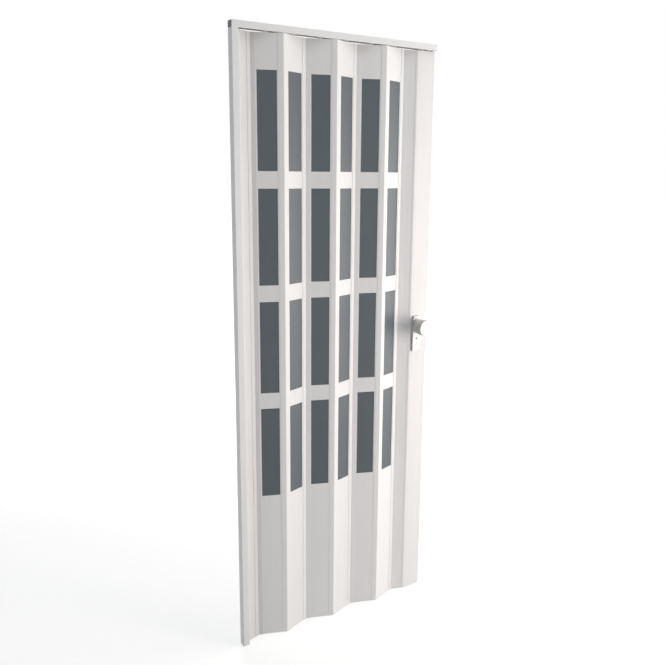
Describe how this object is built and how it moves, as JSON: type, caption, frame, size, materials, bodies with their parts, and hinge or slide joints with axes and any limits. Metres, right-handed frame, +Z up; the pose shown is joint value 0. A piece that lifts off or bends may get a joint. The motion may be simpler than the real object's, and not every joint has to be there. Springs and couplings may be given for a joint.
{
  "type": "accordion door",
  "caption": "White accordion door of glazed slats that folds in a zigzag under a head rail, between a wall jamb and a lead post with a round knob.",
  "frame": {"origin": "on the wall face of the jamb, at floor level, in the head rail's middle plane", "axes": "+X along the head rail away from the wall face, -Y to the door's front, +Z up"},
  "size_m": [0.7726, 0.1446, 2.05],
  "materials": {
    "frame_pvc": "satin white extruded PVC",
    "slat_pvc": "satin white extruded PVC with a faint upright grain",
    "strip_pvc": "satin white flexible PVC",
    "post_pvc": "satin white extruded PVC",
    "pane_acrylic": "smoked grey sheet with a soft sheen",
    "cap_plastic": "dark grey moulded plastic",
    "handle_metal": "satin nickel",
    "spindle_steel": "plain steel rod",
    "barrel_dark": "dark key barrel",
    "hanger_nylon": "white moulded nylon"
  },
  "bodies": {
    "root": {"back_knob": "handle_metal", "back_plate": "handle_metal", "end_half_slat": "slat_pvc", "end_strip": "strip_pvc", "front_knob": "handle_metal", "front_plate": "handle_metal", "hanger_1": "hanger_nylon", "hanger_2": "hanger_nylon", "hanger_3": "hanger_nylon", "hanger_4": "hanger_nylon", "hanger_5": "hanger_nylon", "hanger_6": "hanger_nylon", "head_rail": "frame_pvc", "hinge_strip_1": "strip_pvc", "hinge_strip_2": "strip_pvc", "hinge_strip_3": "strip_pvc", "hinge_strip_4": "strip_pvc", "hinge_strip_5": "strip_pvc", "hinge_strip_6": "strip_pvc", "hinge_strip_7": "strip_pvc", "key_barrel": "barrel_dark", "lead_post": "post_pvc", "pane_1": "pane_acrylic", "pane_2": "pane_acrylic", "pane_3": "pane_acrylic", "pane_4": "pane_acrylic", "pane_5": "pane_acrylic", "pane_6": "pane_acrylic", "post_hanger_inner": "hanger_nylon", "post_hanger_outer": "hanger_nylon", "rail_cap_free": "cap_plastic", "rail_cap_wall": "cap_plastic", "slat_1": "slat_pvc", "slat_2": "slat_pvc", "slat_3": "slat_pvc", "slat_4": "slat_pvc", "slat_5": "slat_pvc", "slat_6": "slat_pvc", "spindle": "spindle_steel", "start_half_slat": "slat_pvc", "start_strip": "strip_pvc", "wall_jamb": "frame_pvc"}
  },
  "joints": []
}
